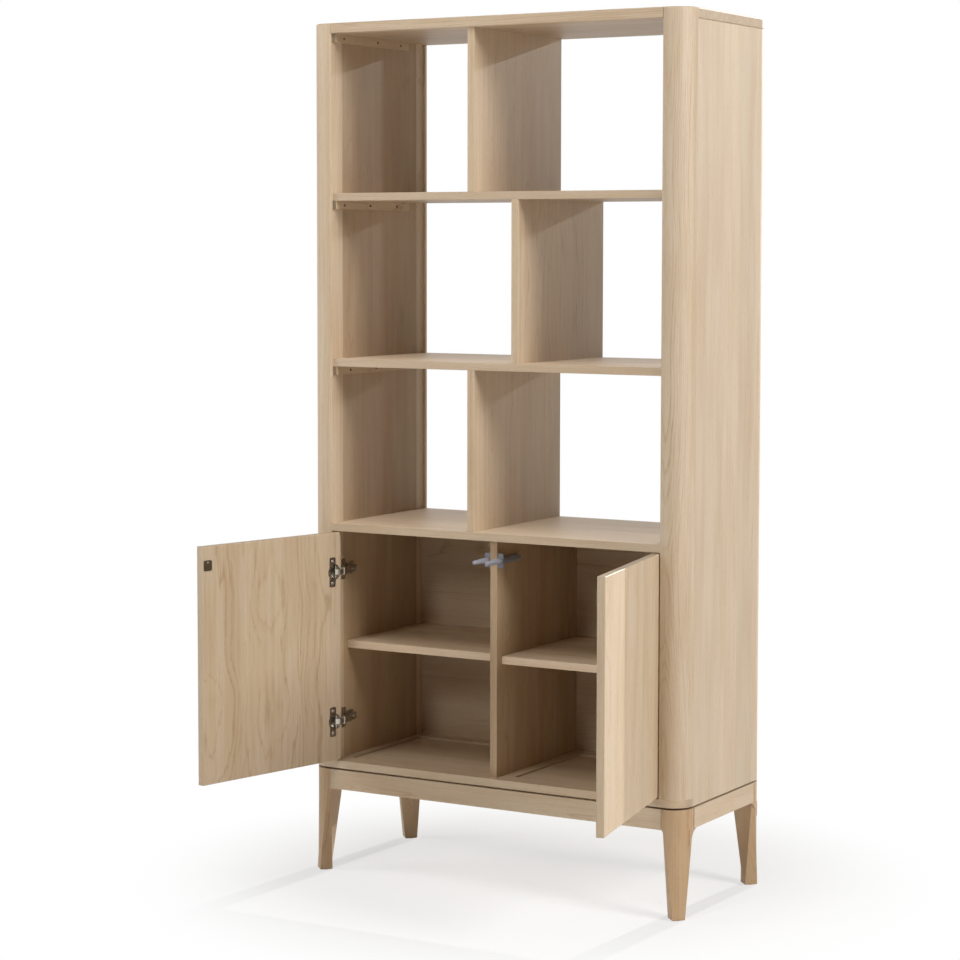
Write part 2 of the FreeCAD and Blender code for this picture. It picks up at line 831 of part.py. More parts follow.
def save_case():
    """Write the boards, posts and cleats of the case."""
    save("top_panel", make_top())
    save("shelf_1", make_upper_shelf(shelf_1_top))
    save("shelf_2", make_upper_shelf(shelf_2_top))
    save("shelf_3", make_shelf_3())
    pieces = {
        "post_front": make_front_post(),
        "side": make_side(),
        "post_rear": make_rear_post()}
    for name, shape in pieces.items():
        save(name + "_left", shape)
        save(name + "_right", mirrored(shape))
    cleats = {"cleat_top": top_cleat, "cleat_shelf_1": shelf_1_cleat, "cleat_shelf_2": shelf_2_cleat}
    for name, cleat in cleats.items():
        shape = make_cleat(*cleat)
        save(name + "_left", shape)
        save(name + "_right", right_cleat_piece(shape))
    save("cleat_screws", *cleat_screws())
    save("divider_1", make_row_divider(
        divider_upper_left, shelf_1_top, top_underside))
    save("divider_2", make_row_divider(
        divider_middle_left, shelf_2_top, shelf_1_top - board_thickness))
    save("divider_3", make_row_divider(
        divider_lower_left, cabinet_top_level, shelf_2_top - board_thickness))
    save("floor_frame", make_floor_frame())
    windows = floor_windows()
    save("floor_panel_left", floor_panel(*windows[0]))
    save("floor_panel_right", floor_panel(*windows[1]))
    save("back_panel", make_back())
    save("cabinet_divider", make_cabinet_divider())
    save("divider_batten", make_batten())
    save("half_shelf_left", make_half_shelf(
        -inner_half_width, cabinet_divider_left, left_half_shelf_setback))
    save("half_shelf_right", make_half_shelf(
        cabinet_divider_right, inner_half_width, right_half_shelf_setback))
    save("shelf_pins", *shelf_pins())


def save_stand():
    """Write the legs, rails and small parts of the stand."""
    names = ("front_left", "front_right", "rear_left", "rear_right")
    for name, leg in zip(names, four_corners(make_leg())):
        save("leg_" + name, leg)
    front_rail = make_front_rail()
    side_rail = make_side_rail()
    save("rail_front", front_rail)
    save("rail_rear", mirrored_front(front_rail))
    save("rail_left", side_rail)
    save("rail_right", mirrored(side_rail))
    centre = sole_centre()
    glide = rod(glide_radius, (*centre, 0), (0, 0, 1), glide_height)
    spacer_place = (-half_width + spacer_inset, front_plane + spacer_inset, stand_top)
    spacer = rod(spacer_radius, spacer_place, (0, 0, 1), stand_gap)
    save("glides", *four_corners(glide))
    save("spacers", *four_corners(spacer))
    save("corner_plates", *four_corners(corner_plate()))
    save("stand_screws", *four_corners(stand_screw()))


def save_doors():
    """Write both doors with their hinges, latches and strike plates."""
    arms = [make_arm(level) for level in hinge_levels]
    save("hinge_arms_left", *arms)
    save("hinge_arms_right", *[mirrored(arm) for arm in arms])
    for side, angle in (("left", left_open_angle), ("right", right_open_angle)):
        turn = mirrored if side == "right" else (lambda shape: shape)
        if side == "left":
            face = cabinet_divider_left
            toward = -1
            strike_x = face - latch_radius
        else:
            face = cabinet_divider_right
            toward = 1
            strike_x = -face - latch_radius
        save(side + "_door", turn(swing(make_leaf(), angle)))
        save(side + "_cup_upper", turn(swing(make_cup(hinge_levels[0]), angle)))
        save(side + "_cup_lower", turn(swing(make_cup(hinge_levels[1]), angle)))
        save(side + "_cup_screws", *[turn(swing(screw, angle)) for screw in cup_screws()])
        save(side + "_strike", turn(swing(make_strike(strike_x), angle)))
        links = [swing(make_link(level), angle * link_share_of_door_turn) for level in hinge_levels]
        save(side + "_links", *[turn(link) for link in links])
        save(side + "_latch", make_latch(face, toward))
        save(side + "_plunger", make_plunger(face, toward))


def print_places():
    """Print the pivots and travels that the record repeats."""
    print("pivot", pivot_x, pivot_y)
    print("door", door_bottom, door_top, door_hinge_edge, door_free_edge)
    print("hinge levels", hinge_levels)
    print("shelf tops", shelf_1_top, shelf_2_top, "row", clear_row)
    print("sole centre", sole_centre())
    print("latch front", latch_front, "closed strike", door_inner_face + strike_thickness)


def main():
    """Write every piece of the bookcase."""
    os.makedirs("parts", exist_ok=True)
    save_case()
    save_stand()
    save_doors()
    print_places()


main()
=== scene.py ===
"""Finish, fittings and studio for an open oak bookcase with a two-door base.

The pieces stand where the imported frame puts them, in metres. X goes to the
right, Y to the back and Z up. The doors are open at rest.
"""
import math

import bmesh
import bpy
from mathutils import Matrix, Vector


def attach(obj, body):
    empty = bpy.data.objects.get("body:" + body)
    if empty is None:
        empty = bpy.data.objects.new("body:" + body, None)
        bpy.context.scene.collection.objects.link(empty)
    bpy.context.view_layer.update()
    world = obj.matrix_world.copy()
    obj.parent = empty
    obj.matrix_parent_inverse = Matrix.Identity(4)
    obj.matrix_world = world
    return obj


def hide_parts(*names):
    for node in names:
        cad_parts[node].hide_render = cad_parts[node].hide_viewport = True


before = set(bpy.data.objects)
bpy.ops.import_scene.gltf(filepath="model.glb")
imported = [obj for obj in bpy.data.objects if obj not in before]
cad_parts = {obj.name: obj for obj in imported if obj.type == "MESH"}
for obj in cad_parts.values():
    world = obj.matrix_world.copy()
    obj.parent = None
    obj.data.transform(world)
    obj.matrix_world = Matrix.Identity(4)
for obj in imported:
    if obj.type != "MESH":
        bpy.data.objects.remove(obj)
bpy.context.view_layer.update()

bl_info = {
    "name": "Oak bookcase",
    "version": (1, 0, 0),
    "blender": (4, 5, 0),
    "location": "3D View > Sidebar > Bookcase",
    "description": "Finishes an oak bookcase, its hinges and its latches, and sets its studio",
    "category": "Object",
}

# How far the two doors stand open at rest, and the edge they turn on
LEFT_OPEN = math.radians(103.0)
RIGHT_OPEN = math.radians(101.5)
PIVOT_X = 0.4234
PIVOT_Y = -0.2075

# Straight figure: the heart lies this many board widths away
RIFT = (0.75, 1.9)
# The legs are drawn warmer and deeper than the middle of the oak
LEG_TONE = (0.87, 0.76, 0.63)
# Painted light and painted shade: other pieces are drawn paler or deeper than the middle of the
# oak, for how light falls on each
LEFT_POST_PAINTED_LIGHT = (1.09, 1.09, 1.08)
LEFT_SIDE_PAINTED_SHADE = (0.84, 0.77, 0.68)
LEFT_REAR_POST_PAINTED_LIGHT = (1.16, 1.16, 1.14)
RIGHT_POST_PAINTED_LIGHT = (1.05, 1.08, 1.12)
RIGHT_SIDE_PAINTED_SHADE = (0.975, 0.985, 1.0)
DIVIDER_PAINTED_LIGHT = (1.08, 1.07, 1.04)
CABINET_DIVIDER_PAINTED_SHADE = (0.84, 0.79, 0.72)
HALF_SHELF_PAINTED_LIGHT = (1.3, 1.32, 1.36)
CLEAT_PAINTED_LIGHT = (1.08, 1.06, 1.02)


def linear(code):
    """An sRGB hex colour as linear values."""
    values = []
    for start in (1, 3, 5):
        part = int(code[start:start + 2], 16) / 255
        if part <= 0.04045:
            values.append(part / 12.92)
        else:
            values.append(((part + 0.055) / 1.055) ** 2.4)
    return tuple(values)


def opaque(colour):
    """A settings colour with full alpha, as a node socket takes it."""
    return (colour[0], colour[1], colour[2], 1.0)


def add(tree, kind, inputs=None, **settings):
    """Add a node, set it, and fill or link its inputs."""
    node = tree.nodes.new(kind)
    for name, value in settings.items():
        setattr(node, name, value)
    for socket, value in (inputs or {}).items():
        if isinstance(value, bpy.types.NodeSocket):
            tree.links.new(value, node.inputs[socket])
        else:
            node.inputs[socket].default_value = value
    return node


def new_material(name):
    """A node material with no nodes in it yet."""
    material = bpy.data.materials.new(name)
    material.use_nodes = True
    material.node_tree.nodes.clear()
    return material


def put_on(material, *names):
    """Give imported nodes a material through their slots."""
    for name in names:
        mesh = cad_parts[name].data
        mesh.materials.clear()
        mesh.materials.append(material)


def grain_place(tree, side, depth, along, stretch):
    """Coordinates in which a mark comes out so many times longer than it is wide."""
    shortened = worked(tree, "MULTIPLY", along, 1 / stretch)
    place = add(tree, "ShaderNodeCombineXYZ", {0: side, 1: depth, 2: shortened})
    return place.outputs[0]


def noise(tree, place, width, detail, roughness):
    """Noise whose marks are about so many metres wide."""
    texture = add(
        tree, "ShaderNodeTexNoise",
        {"Vector": place, "Scale": 1 / width, "Detail": detail, "Roughness": roughness})
    return texture.outputs[0]


def ranged(tree, value, low, high, to_low, to_high):
    """A value carried from one range to another."""
    node = add(
        tree, "ShaderNodeMapRange",
        {"Value": value, "From Min": low, "From Max": high, "To Min": to_low,
         "To Max": to_high})
    return node.outputs[0]


def worked(tree, operation, *values):
    """One step of arithmetic."""
    node = add(tree, "ShaderNodeMath", dict(enumerate(values)), operation=operation)
    return node.outputs[0]


def toned_colour(colour, tone):
    """A settings colour times a tone for each channel, with full alpha."""
    return opaque([part * share for part, share in zip(colour, tone)])


def closed_door_place(tree, coords, door):
    """The coordinates of an open door as they were with the door closed."""
    pivot_x, turn = door
    moved = Matrix.Rotation(turn, 4, "Z") @ Vector((pivot_x, PIVOT_Y, 0.0))
    mapping = add(
        tree, "ShaderNodeMapping",
        {"Vector": coords, "Rotation": (0.0, 0.0, turn), "Location": -moved},
        vector_type="POINT")
    return mapping.outputs[0]


def distance_from_heart(tree, oak, sideways, depth, side, shifted, chance_depth, centre):
    """How far a point lies from the heart of its stem, which wanders along the board."""
    # The wander is this much slower across the board than along it
    across_share = 0.3
    slow_side = worked(tree, "MULTIPLY", side, across_share)
    slow_place = add(tree, "ShaderNodeCombineXYZ", {0: slow_side, 2: shifted})
    wander = noise(tree, slow_place.outputs[0], oak.wander_length, 3.0, 0.45)
    drift = ranged(tree, wander, 0.0, 1.0, -oak.wander_reach, oak.wander_reach)

    # The heart lies between these two distances off the board's middle, down the third axis
    nearest = 0.03
    farthest = 0.09
    below = ranged(tree, chance_depth, 0.0, 1.0, nearest - centre, farthest - centre)
    below = worked(tree, "ADD", worked(tree, "ADD", below, depth), drift)
    place = add(tree, "ShaderNodeCombineXYZ", {0: sideways, 1: below})
    radius = add(tree, "ShaderNodeVectorMath", {0: place.outputs[0]}, operation="LENGTH")
    return radius.outputs["Value"]


def ring_figure(tree, oak, radius, side, depth, shifted):
    """How strongly the growth rings show at a point, from none to one."""
    # Waves in the rings: broad ones 22 mm by 440 mm, and a fine tremble 6 mm by 90 mm
    waves = noise(tree, grain_place(tree, side, depth, shifted, 20), 0.022, 2.0, 0.5)
    tremble = noise(tree, grain_place(tree, side, depth, shifted, 15), 0.006, 2.0, 0.6)
    uneven = worked(
        tree, "ADD", ranged(tree, waves, 0.0, 1.0, -0.8, 0.8),
        ranged(tree, tremble, 0.0, 1.0, -0.3, 0.3))
    rings = worked(tree, "MULTIPLY_ADD", radius, 1 / oak.ring_spacing, uneven)
    year = worked(tree, "FRACT", rings)

    # A year starts deep in tone, with its open early wood, and fades to the pale late wood
    spring = add(tree, "ShaderNodeValToRGB", {0: year})
    spring.color_ramp.interpolation = "EASE"
    for stop in spring.color_ramp.elements:
        stop.color = (1.0, 1.0, 1.0, 1.0)
    for place_in_year, deepness in ((0.2, 0.35), (0.5, 0.0), (0.88, 0.12)):
        stop = spring.color_ramp.elements.new(place_in_year)
        stop.color = (deepness, deepness, deepness, 1.0)

    # Some years show more than others, and the figure fades in and out along a board
    seasons = add(
        tree, "ShaderNodeTexNoise",
        {"W": rings, "Scale": 0.55, "Detail": 3.0, "Roughness": 0.6}, noise_dimensions="1D")
    strong = ranged(tree, seasons.outputs[0], 0.35, 0.68, 0.2, 1.0)
    fade = noise(tree, grain_place(tree, side, depth, shifted, 6), 0.06, 2.0, 0.5)
    shown = ranged(tree, fade, 0.36, 0.62, 0.45, 1.0)
    return worked(tree, "MULTIPLY", worked(tree, "MULTIPLY", spring.outputs[0], strong), shown)


def soaped_oak(
        name, grain, across, centre, board, seed, heart_reach=(0.28, 0.72), contrast=1.0,
        tone=(1.0, 1.0, 1.0), door=None, end_tone=0.78, shine=0.5):
    """European oak, planed, sanded and soaped: pale, dry to the eye, and nearly matt.

    The figure is solid. Growth rings lie round a heart that wanders behind each
    board, so a face shows arches, an edge shows lines and an end shows arcs.

    The grain runs along one axis, and boards of the same width lie side by side
    across another. The centre is their middle on the third axis, and the seed sets
    their chance values. A heart_reach beyond the board itself gives the straight
    figure of a rift board. The contrast is that of the rings and streaks, and the
    tone multiplies every colour; on the posts, sides, dividers, half shelves and
    cleats it is painted light and painted shade, which makes each piece paler or
    deeper for how light falls on it. A door has its hinge edge and the turn that
    closes it. The end_tone darkens the open ends of the grain, and where it is low,
    as on the cleats, it also paints the shade at their ends. The shine is the level
    of the mirror part of the surface.
    """
    oak = bpy.context.scene.bookcase.oak
    material = new_material(name)
    tree = material.node_tree
    coords = add(tree, "ShaderNodeTexCoord").outputs["Object"]
    if door is not None:
        coords = closed_door_place(tree, coords, door)
    split = add(tree, "ShaderNodeSeparateXYZ", {0: coords})
    through = ({"X", "Y", "Z"} - {grain, across}).pop()
    along = split.outputs[grain]
    side = split.outputs[across]
    depth = split.outputs[through]

    # Each board of the glued panel has its own number and its own chance values
    place = worked(tree, "MULTIPLY_ADD", side, 1 / board, seed)
    number = worked(tree, "FLOOR", place)
    chance = add(tree, "ShaderNodeTexWhiteNoise", {"W": number}, noise_dimensions="1D")
    values = add(tree, "ShaderNodeSeparateColor", {0: chance.outputs["Color"]})

    # Across the board from its heart, which lies at a chance share of its width
    within = worked(tree, "FRACT", place)
    heart = ranged(tree, values.outputs["Red"], 0.0, 1.0, *heart_reach)
    sideways = worked(tree, "MULTIPLY", worked(tree, "SUBTRACT", within, heart), board)

    # Neighbours are cut this many metres apart along the stem
    cut_apart = 3.71
    shifted = worked(tree, "MULTIPLY_ADD", number, cut_apart, along)
    radius = distance_from_heart(
        tree, oak, sideways, depth, side, shifted, values.outputs["Green"], centre)
    figure = ring_figure(tree, oak, radius, side, depth, shifted)

    # Streaks 3 mm by 90 mm and 12 mm by 400 mm, and patches 50 mm by 350 mm
    streaks = noise(tree, grain_place(tree, side, depth, shifted, 30), 0.003, 4.0, 0.65)
    broad = noise(tree, grain_place(tree, side, depth, shifted, 34), 0.012, 2.0, 0.5)
    patches = noise(tree, grain_place(tree, side, depth, shifted, 7), 0.05, 2.0, 0.5)

    # Real pores are 0.3 mm wide and 5 mm long. They are drawn 1.6 mm wide, to show at all
    cells = add(
        tree, "ShaderNodeTexVoronoi",
        {"Vector": grain_place(tree, side, depth, shifted, 14), "Scale": 1 / 0.0016,
         "Randomness": 1.0})
    pores = ranged(tree, cells.outputs["Distance"], 0.1, 0.36, 1.0, 0.0)
    pores = worked(tree, "MULTIPLY", pores, ranged(tree, figure, 0.0, 0.8, 0.25, 1.0))

    # Rings, streaks and slow tone share the way from pale to deep oak
    streak_reach = oak.streak_contrast * contrast
    total = worked(tree, "MULTIPLY", figure, oak.ring_contrast * contrast)
    total = worked(tree, "ADD", total, ranged(tree, streaks, 0.3, 0.7, 0.0, streak_reach))
    total = worked(tree, "ADD", total, ranged(tree, broad, 0.3, 0.7, 0.0, streak_reach))
    toned = add(tree, "ShaderNodeValToRGB", {0: total})
    toned.color_ramp.elements[0].color = toned_colour(oak.pale, tone)
    toned.color_ramp.elements[1].color = toned_colour(oak.deep, tone)
    middle = toned.color_ramp.elements.new(0.45)
    middle.color = toned_colour(oak.middle, tone)
    blushed = add(
        tree, "ShaderNodeMix",
        {0: ranged(tree, patches, 0.42, 0.68, 0.0, oak.blush_share), 6: toned.outputs[0],
         7: toned_colour(oak.blush, tone)}, data_type="RGBA")
    pored = add(
        tree, "ShaderNodeMix",
        {0: worked(tree, "MULTIPLY", pores, oak.pore_share), 6: blushed.outputs[2],
         7: toned_colour(oak.pore, tone)}, data_type="RGBA")
    level = ranged(tree, values.outputs["Blue"], 0.0, 1.0, 0.955, 1.025)

    # The open ends of the grain drink in the soap and look deeper than the faces; a low
    # end_tone, as on the cleats, adds painted shade there
    facing = add(
        tree, "ShaderNodeSeparateXYZ", {0: add(tree, "ShaderNodeTexCoord").outputs["Normal"]})
    endwise = worked(tree, "ABSOLUTE", facing.outputs[grain])
    level = worked(tree, "MULTIPLY", level, ranged(tree, endwise, 0.75, 0.95, 1.0, end_tone))
    shaded = add(
        tree, "ShaderNodeVectorMath", {0: pored.outputs[2], "Scale": level},
        operation="SCALE")

    # Pores are open, so they are rougher than the sanded wood between them
    dryness = ranged(tree, pores, 0.0, 1.0, oak.roughness, 0.85)
    relief = worked(tree, "SUBTRACT", pores, streaks)
    bump = add(
        tree, "ShaderNodeBump",
        {"Height": relief, "Strength": 0.22, "Distance": 0.0003}, invert=True)
    surface = add(
        tree, "ShaderNodeBsdfPrincipled",
        {"Base Color": shaded.outputs[0], "Roughness": dryness, "Normal": bump.outputs[0],
         "IOR": 1.5, "Specular IOR Level": shine})
    add(tree, "ShaderNodeOutputMaterial", {0: surface.outputs[0]})
    return material


def plated_metal(name, colour, roughness, wear):
    """Pressed or turned steel under a thin bright plating: a soft, slightly cloudy shine."""
    material = new_material(name)
    tree = material.node_tree
    coords = add(tree, "ShaderNodeTexCoord").outputs["Object"]

    # Clouds 5.5 mm wide, as the plating bath leaves them
    cloud = noise(tree, coords, 0.0055, 3.0, 0.55)
    dulled = ranged(tree, cloud, 0.3, 0.7, roughness - wear, roughness + wear)
    tone = add(tree, "ShaderNodeValToRGB", {0: cloud})
    tone.color_ramp.elements[0].color = toned_colour(colour, (0.9, 0.9, 0.9))
    tone.color_ramp.elements[1].color = opaque(colour)
    bump = add(
        tree, "ShaderNodeBump", {"Height": cloud, "Strength": 0.08, "Distance": 0.0002})
    surface = add(
        tree, "ShaderNodeBsdfPrincipled",
        {"Base Color": tone.outputs[0], "Roughness": dulled, "Metallic": 1.0,
         "Normal": bump.outputs[0]})
    add(tree, "ShaderNodeOutputMaterial", {0: surface.outputs[0]})
    return material


def moulded_plastic(name, colour, roughness, ior):
    """Injection moulded plastic with the fine spark grain of its tool: even and softly matt."""
    material = new_material(name)
    tree = material.node_tree
    coords = add(tree, "ShaderNodeTexCoord").outputs["Object"]

    # Spark grain 0.7 mm wide
    grain = noise(tree, coords, 0.0007, 2.0, 0.5)
    tone = add(tree, "ShaderNodeValToRGB", {0: grain})
    tone.color_ramp.elements[0].color = toned_colour(colour, (0.88, 0.88, 0.88))
    tone.color_ramp.elements[1].color = opaque(colour)
    bump = add(
        tree, "ShaderNodeBump", {"Height": grain, "Strength": 0.12, "Distance": 0.0001})
    surface = add(
        tree, "ShaderNodeBsdfPrincipled",
        {"Base Color": tone.outputs[0], "Roughness": roughness, "IOR": ior,
         "Normal": bump.outputs[0]})
    add(tree, "ShaderNodeOutputMaterial", {0: surface.outputs[0]})
    return material


def separate_solids(name):
    """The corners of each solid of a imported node, as one list for each solid."""
    shape = bmesh.new()
    shape.from_mesh(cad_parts[name].data)
    bmesh.ops.remove_doubles(shape, verts=shape.verts, dist=1e-6)
    found = set()
    solids = []
    for first in shape.verts:
        if first in found:
            continue
        found.add(first)
        reached = [first]
        corners = []
        while reached:
            corner = reached.pop()
            corners.append(corner.co.copy())
            for edge in corner.link_edges:
                other = edge.other_vert(corner)
                if other not in found:
                    found.add(other)
                    reached.append(other)
        solids.append(corners)
    shape.free()
    return solids


def add_screw(shape, seat, outward, radius, length, dome):
    """Add a round screw to a mesh, with a domed end and a cross recess in it.

    The end is drawn as rings of corners, at shares of the radius. The recess is
    deepest in its middle, slopes up outwards, and never goes through the screw.
    """
    turn = outward.to_track_quat("Z", "Y").to_matrix()
    shares = (1.0, 0.97, 0.88, 0.76, 0.66, 0.62, 0.5, 0.4, 0.3, 0.2, 0.16, 0.08)
    steps = 56
    half_slot = 0.13
    slot_end = 0.64
    floor_rises_to = 0.7
    floor_slope = 3.0
    recess = min(0.55 * radius, 0.6 * length)

    rings = []
    base = []
    for step in range(steps):
        angle = 2 * math.pi * step / steps
        flat = Vector((radius * math.cos(angle), radius * math.sin(angle), 0.0))
        base.append(shape.verts.new(seat + turn @ flat))
    rings.append(base)
    for share in shares:
        ring = []
        for step in range(steps):
            angle = 2 * math.pi * step / steps
            across = share * math.cos(angle)
            upward = share * math.sin(angle)
            height = length - dome * share ** 2
            narrow = min(abs(across), abs(upward))
            if share < slot_end and narrow < half_slot:
                height -= recess * min(1.0, (floor_rises_to - share) * floor_slope)
            place = Vector((radius * across, radius * upward, height))
            ring.append(shape.verts.new(seat + turn @ place))
        rings.append(ring)
    for outer, inner in zip(rings, rings[1:]):
        for step in range(steps):
            after = (step + 1) % steps
            shape.faces.new((outer[step], outer[after], inner[after], inner[step]))
    shape.faces.new(rings[-1])
    shape.faces.new(reversed(base))


def piece_from(shape, name, body, material):
    """A piece of the scene made from a mesh, riding on a body."""
    bmesh.ops.recalc_face_normals(shape, faces=shape.faces)
    mesh = bpy.data.meshes.new(name)
    shape.to_mesh(mesh)
    shape.free()
    mesh.materials.append(material)
    piece = bpy.data.objects.new(name, mesh)
    bpy.context.scene.collection.objects.link(piece)
    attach(piece, body)
    return piece


def recessed_screws(node, body, outward_at, dome, material):
    """Screws with a cross recess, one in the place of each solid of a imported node."""
    shape = bmesh.new()
    for corners in separate_solids(node):
        middle = sum(corners, Vector()) / len(corners)
        outward = outward_at(middle)
        heights = [(corner - middle).dot(outward) for corner in corners]
        low = min(heights)
        radius = 0.0
        for corner, height in zip(corners, heights):
            radius = max(radius, (corner - middle - outward * height).length)
        add_screw(
            shape, middle + outward * low, outward, radius, max(heights) - low, dome)
    piece = piece_from(shape, node + "_recessed", body, material)
    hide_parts(node)


def inner_face_direction(side):
    """The way that the inner face of an open door looks."""
    turn = -LEFT_OPEN if side == "left" else RIGHT_OPEN
    return Matrix.Rotation(turn, 3, "Z") @ Vector((0.0, 1.0, 0.0))


def colour_setting(name, description, code):
    """A colour that a user can change, which starts from its sRGB hex value."""
    return bpy.props.FloatVectorProperty(
        name=name, description=description, subtype="COLOR", size=3, min=0.0, max=1.0,
        default=linear(code))


def share_setting(name, description, default, most):
    """A share that a user can change, from none up to the most."""
    return bpy.props.FloatProperty(
        name=name, description=description, default=default, min=0.0, max=most,
        subtype="FACTOR")


def power_setting(name, description, default):
    """The power of a lamp that a user can change, in watts."""
    return bpy.props.FloatProperty(
        name=name, description=description, default=default, min=0.0, subtype="POWER")


class OakSettings(bpy.types.PropertyGroup):
    """Colours and figure of the oak."""
    pale: colour_setting("Pale wood", "Late wood between the rings", "#CDBAA0")
    middle: colour_setting("Middle wood", "Most of the surface", "#C6AF93")
    deep: colour_setting("Deep wood", "Early wood in the rings", "#AC9171")
    pore: colour_setting("Pore", "Open pores", "#967853")
    blush: colour_setting("Blush", "Warmer patches of the wood", "#B79A76")
    blush_share: share_setting(
        "Blush share", "How far the patches go to their colour", 0.42, 1.0)
    pore_share: share_setting(
        "Pore share", "How far the pores go to their colour", 0.6, 1.0)
    ring_spacing: bpy.props.FloatProperty(
        name="Ring spacing",
        description="Between growth rings, drawn coarser than the real 2 to 3 mm to show",
        default=0.0045, min=0.001, unit="LENGTH")
    ring_contrast: share_setting(
        "Ring contrast", "Share of the rings in the tone", 0.55, 2.0)
    streak_contrast: share_setting(
        "Streak contrast", "Share of the streaks in the tone", 0.3, 1.0)
    wander_length: bpy.props.FloatProperty(
        name="Wander length", description="Length of stem between two turns of its wander",
        default=0.7, min=0.05, unit="LENGTH")
    wander_reach: bpy.props.FloatProperty(
        name="Wander reach", description="How far the heart moves behind a board",
        default=0.05, min=0.0, unit="LENGTH")
    roughness: share_setting("Roughness", "Of the soaped surface", 0.48, 1.0)


class FittingSettings(bpy.types.PropertyGroup):
    """Colours of the metal and plastic fittings."""
    nickel: colour_setting("Nickel", "Plated hinge steel", "#C3BDB2")
    zinc: colour_setting("Zinc", "Plated screws and plates", "#CBCAC5")
    black_nickel: colour_setting("Black nickel", "Plated strikes", "#736B5A")
    # Dark screws, drawn darker still as painted shade for the holes they sit in
    dark_screw_painted_shade: colour_setting("Black oxide", "Blackened cleat screws", "#120F0C")
    latch_grey: colour_setting("Latch grey", "Moulded latch sleeves", "#84848C")
    plunger_grey: colour_setting("Plunger grey", "Moulded latch plungers", "#9B9BA6")
    glide_black: colour_setting("Glide black", "Moulded glides", "#2B2A29")


class StudioSettings(bpy.types.PropertyGroup):
    """Light and floor of the studio."""
    floor: colour_setting("Floor", "Plain pale floor", "#EEEDEB")
    floor_whiteness: share_setting(
        "Floor whiteness",
        "Share of plain white in the floor by the stand, as the camera sees it", 0.58, 1.0)
    ambient: bpy.props.FloatProperty(
        name="Ambient", description="Level of the light from all round",
        default=0.005, min=0.0)
    key_power: power_setting("Key power", "Large soft lamp at the right, in watts", 378.0)
    left_power: power_setting("Left power", "Large soft lamp at the left, in watts", 76.0)
    fill_power: power_setting("Fill power", "Soft lamp in front, in watts", 47.0)
    top_power: power_setting("Top power", "Large soft lamp overhead, in watts", 55.0)
    back_strength: bpy.props.FloatProperty(
        name="Back strength", description="Far lamp behind the case",
        default=3.4, min=0.0)


class BookcaseSettings(bpy.types.PropertyGroup):
    """All settings of the bookcase."""
    oak: bpy.props.PointerProperty(
        type=OakSettings, name="Oak", description="Colours and figure of the oak")
    fittings: bpy.props.PointerProperty(
        type=FittingSettings, name="Fittings", description="Colours of the fittings")
    studio: bpy.props.PointerProperty(
        type=StudioSettings, name="Studio", description="Light and floor")


def area_lamp(name, place, size, power):
    """A soft square lamp that looks at the middle of the case."""
    data = bpy.data.lights.new(name, "AREA")
    data.shape = "SQUARE"
    data.size = size
    data.energy = power
    lamp = bpy.data.objects.new(name, data)
    bpy.context.scene.collection.objects.link(lamp)
    lamp.location = place
    middle = Vector((0.0, 0.0, 1.1))
    aim = middle - Vector(place)
    lamp.rotation_euler = aim.to_track_quat("-Z", "Y").to_euler()


